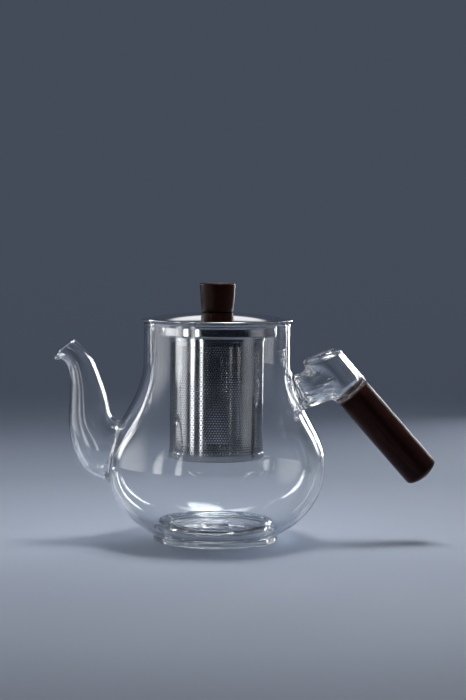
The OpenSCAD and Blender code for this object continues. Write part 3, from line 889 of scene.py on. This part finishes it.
def sweep():
    """Pale seamless floor that curves up into a backdrop behind, and far off in front; its colour is
    painted darker away from the pool of light, as painted shade for the lamps' fall-off.
    """
    back, front, wide, high, bend = 2.3, -4.5, 10, 5.0, 1.2
    hair = 1e-4
    put_down()
    bpy.ops.mesh.primitive_plane_add(size=1, location=(0, 0, 0))
    floor = bpy.context.object
    floor.name = "studio_sweep"
    floor.scale = (wide, back - front, 1)
    floor.location = (0, (back + front) / 2, 0)
    bpy.ops.object.transform_apply(location=True, rotation=True, scale=True)
    for side, lean in ((back, 0.2), (front, -0.2)):
        open_mesh(floor, "EDGE")
        edit = bmesh.from_edit_mesh(floor.data)
        for e in edit.edges:
            e.select_set(all(abs(v.co.y - side) < hair for v in e.verts))
        bpy.ops.mesh.extrude_edges_move(TRANSFORM_OT_translate={"value": (0, lean, high)})
        bpy.ops.mesh.select_all(action="DESELECT")
        edit = bmesh.from_edit_mesh(floor.data)
        for e in edit.edges:
            e.select_set(all(abs(v.co.y - side) < hair and v.co.z < hair for v in e.verts))
        bpy.ops.mesh.bevel(offset=bend, segments=32)
        put_down()
    smooth(floor)
    finish = Finish("pale_paper_painted_falloff", Roughness=0.9)
    # painted pool of light: the paper's colour is painted darker with distance from the pool of light, and
    # darker still high on the backdrop
    away = finish.add("ShaderNodeVectorMath", {0: finish.coords, 1: POOL_OF_LIGHT},
                      operation="DISTANCE").outputs["Value"]
    far = finish.add("ShaderNodeMath", {0: away, 1: 1 / 3.0}, operation="MULTIPLY").outputs[0]
    tone = finish.steps(far, (0.06, FLOOR_COLOUR), (0.16, MID_FLOOR_PAINTED_SHADE),
                        (0.27, FAR_FLOOR_PAINTED_SHADE), (0.42, BACKDROP_PAINTED_SHADE),
                        (0.75, BACKDROP_PAINTED_SHADE), (0.9, HIGH_BACKDROP_PAINTED_SHADE))
    finish.feed("Base Color", tone)
    fibres = finish.noise(finish.coords, 40, 4.0)
    finish.bump(fibres, 0.03, 0.3 * MM)
    # beyond the lamps the paper keeps one even shade, for the eye, for metal and for glass
    path = finish.add("ShaderNodeLightPath").outputs
    direct = finish.add("ShaderNodeMath", {0: path["Is Camera Ray"],
                                           1: path["Is Glossy Ray"]}).outputs[0]
    seen = finish.add("ShaderNodeMath", {0: direct, 1: path["Is Transmission Ray"]},
                      use_clamp=True).outputs[0]
    beyond = finish.add("ShaderNodeMapRange", {"Value": away, "From Min": 0.7, "From Max": 1.9},
                        interpolation_type="SMOOTHSTEP").outputs[0]
    place = finish.add("ShaderNodeSeparateXYZ", {0: finish.coords}).outputs
    # in front the steel mirrors a darker floor, as with a black card laid there
    card = finish.add("ShaderNodeMapRange", {"Value": place["Y"], "From Min": -0.32, "From Max": -0.8},
                      interpolation_type="SMOOTHSTEP").outputs[0]
    mirrored = finish.add("ShaderNodeMath", {0: card, 1: path["Glossy Depth"]}, operation="MULTIPLY",
                          use_clamp=True).outputs[0]
    dark = finish.add("ShaderNodeMath", {0: beyond, 1: mirrored}, operation="MAXIMUM").outputs[0]
    share = finish.add("ShaderNodeMath", {0: seen, 1: dark}, operation="MULTIPLY").outputs[0]
    above = finish.add("ShaderNodeMapRange", {"Value": place["Z"], "From Min": 1.5,
                                              "From Max": 2.6}).outputs[0]
    level = finish.add("ShaderNodeMix", {0: mirrored, 6: (*EVEN_SHADE, 1), 7: (*CARD_SHADE, 1)},
                       data_type="RGBA").outputs[2]
    shade = finish.add("ShaderNodeMix", {0: above, 6: level, 7: (*CEILING_SHADE, 1)},
                       data_type="RGBA").outputs[2]
    finish.swap(share, finish.add("ShaderNodeEmission", {"Color": shade}).outputs[0])
    dress(floor, finish.material)


def lamp(name, at, towards, width, height, watts, spread=110, edge=0.55, behind_glass=1.0):
    """A softbox that fades out at its edges, turned towards a point, with a grid to narrow it.

    A low panel beside the pot is there for its reflections: behind_glass dims it where it is
    seen straight through the glass, as it isn't seen past the glass either.
    """
    data = bpy.data.lights.new(name, "AREA")
    data.shape = "RECTANGLE"
    data.size, data.size_y = width, height
    data.energy = watts
    data.spread = radians(spread)
    data.use_nodes = True
    nodes, links = data.node_tree.nodes, data.node_tree.links
    cloth = nodes.new("ShaderNodeTexCoord")
    centred = nodes.new("ShaderNodeMapping")
    centred.inputs["Location"].default_value = (-1, -1, 0)
    centred.inputs["Scale"].default_value = (2, 2, 0)
    round_fade = nodes.new("ShaderNodeTexGradient")
    round_fade.gradient_type = "SPHERICAL"
    fade = nodes.new("ShaderNodeMapRange")
    fade.interpolation_type = "SMOOTHSTEP"
    fade.inputs["From Max"].default_value = edge
    fade.inputs["To Max"].default_value = 2.0
    links.new(cloth.outputs["UV"], centred.inputs["Vector"])
    links.new(centred.outputs["Vector"], round_fade.inputs["Vector"])
    links.new(round_fade.outputs["Fac"], fade.inputs["Value"])
    reflected = nodes.new("ShaderNodeMapRange")
    reflected.inputs["To Min"].default_value = behind_glass
    both = nodes.new("ShaderNodeMath")
    both.operation = "MULTIPLY"
    links.new(nodes.new("ShaderNodeLightPath").outputs["Glossy Depth"], reflected.inputs["Value"])
    links.new(fade.outputs[0], both.inputs[0])
    links.new(reflected.outputs[0], both.inputs[1])
    links.new(both.outputs[0], nodes["Emission"].inputs["Strength"])
    obj = bpy.data.objects.new(name, data)
    bpy.context.scene.collection.objects.link(obj)
    obj.location = at
    obj.rotation_euler = (Vector(towards) - Vector(at)).to_track_quat("-Z", "Y").to_euler()


def surroundings():
    """Dim light from all round, and the even shade that the eye, metal and glass see there."""
    world = bpy.data.worlds.new("surroundings")
    bpy.context.scene.world = world
    world.use_nodes = True
    nodes, links = world.node_tree.nodes, world.node_tree.links
    around = nodes["Background"]
    around.inputs["Color"].default_value = (*SURROUNDINGS_COLOUR, 1)
    around.inputs["Strength"].default_value = SURROUNDINGS_LIGHT
    even = nodes.new("ShaderNodeBackground")
    up = nodes.new("ShaderNodeSeparateXYZ")
    links.new(nodes.new("ShaderNodeTexCoord").outputs["Generated"], up.inputs[0])
    shades = nodes.new("ShaderNodeValToRGB")
    stops = ((0.2, EVEN_SHADE), (0.6, CEILING_SHADE))
    for step, (height, colour) in zip(shades.color_ramp.elements, stops):
        step.position, step.color = height, (*colour, 1)
    links.new(up.outputs["Z"], shades.inputs[0])
    links.new(shades.outputs[0], even.inputs["Color"])
    seen = nodes["World Output"].inputs["Surface"]
    for ray in ("Is Camera Ray", "Is Glossy Ray", "Is Transmission Ray"):
        mix = nodes.new("ShaderNodeMixShader")
        links.new(nodes.new("ShaderNodeLightPath").outputs[ray], mix.inputs[0])
        links.new(seen.links[0].from_socket, mix.inputs[1])
        links.new(even.outputs[0], mix.inputs[2])
        links.new(mix.outputs[0], seen)


def lamps():
    """Strips for the glass edges, low panels for the bands on the steel, and soft light above."""
    pot = (0, 0, 0.09)
    tall = 0.78
    middle = tall / 2 + 0.02
    low = 0.07
    level = (0, 0, low)
    dim = 0.04
    lamp("right_strip", (0.62, 0.72, middle), pot, 0.07, tall, 0.8)
    lamp("left_strip", (-0.80, 0.50, middle), pot, 0.11, tall, 1.3)
    lamp("right_back_slit", (0.40, 0.88, 0.2), pot, 0.09, 0.6, 0.8)
    lamp("left_panel", (-0.60, 0.06, low), level, 0.56, 0.8, 0.42, behind_glass=dim)
    lamp("left_slit", (-0.52, -0.30, low), level, 0.14, 0.7, 0.22, behind_glass=dim)
    lamp("front_slit", (-0.36, -0.48, low), level, 0.09, 0.7, 0.15, behind_glass=dim)
    lamp("right_panel", (0.59, -0.10, low), level, 0.5, 0.8, 0.07, behind_glass=dim)
    # nearly straight behind, this one lies mirrored across the low lid
    lamp("back_softbox", (0.0, 1.95, 0.79), (0, 0, 0.14), 0.37, 0.34, 0.07, edge=0.2)
    lamp("top_softbox", (0.16, 0.2, 1.3), pot, 0.7, 0.5, 3.4, spread=90)
    lamp("backdrop_lamp", (0.0, 0.5, 1.6), (0, 1.9, 0.1), 1.6, 0.5, 12, spread=150)


def camera():
    """A long lens from the front, a little above the lid."""
    data = bpy.data.cameras.new("camera")
    data.lens = CAMERA_LENS
    data.sensor_width = 36
    view = bpy.data.objects.new("camera", data)
    bpy.context.scene.collection.objects.link(view)
    view.matrix_world = (Matrix.Translation(CAMERA_PLACE) @ Matrix.Rotation(CAMERA_TURN, 4, "Z")
                         @ Matrix.Rotation(pi / 2 - CAMERA_DOWN, 4, "X")
                         @ Matrix.Rotation(CAMERA_ROLL, 4, "Z"))
    bpy.context.scene.camera = view


def studio():
    """Floor, soft lamps, dim surroundings, the camera and how light is followed through glass."""
    sweep()
    lamps()
    surroundings()
    camera()
    scene = bpy.context.scene
    scene.view_settings.view_transform = "Standard"
    scene.cycles.use_denoising = True
    scene.cycles.max_bounces = 32
    scene.cycles.transmission_bounces = 28
    scene.cycles.transparent_max_bounces = 32
    scene.cycles.glossy_bounces = 12


# ---------------------------------------------------------------- the pot, put together

glass = clear_glass()
grip_turn = (0, pi / 2 + GRIP_TILT, 0)
lid_finish = spun_steel("polished_lid_steel", (0.58, 0.585, 0.60, 1), 0.07, 0.02, (1, 1, 8))
infuser_finish = spun_steel("bright_infuser_steel", (0.455, 0.46, 0.475, 1), 0.11, 0.03, (1, 1, 30))
screw_finish = spun_steel("plain_screw_steel", (0.5, 0.5, 0.51, 1), 0.32, 0.06, (1, 1, 1))

dress(blow_glass(), glass)
for part in (perforated_screen(), pressed_collar(), base_cup()):
    dress(part, infuser_finish)
dress(domed_cover(), lid_finish)
dress(turned_grip(), dark_wood("dark_wood_grip", tuple(SOCKET_MOUTH), grip_turn))
dress(turned_knob(), dark_wood("dark_wood_knob", (0, 0, KNOB_LOW[2]), (0, 0, 0)))
dress(cork_sleeve(), cork_finish())
dress(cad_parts["lid_skirt"], lid_finish)
dress(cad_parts["knob_screw"], screw_finish)
dress(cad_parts["knob_washer"], screw_finish)

studio()
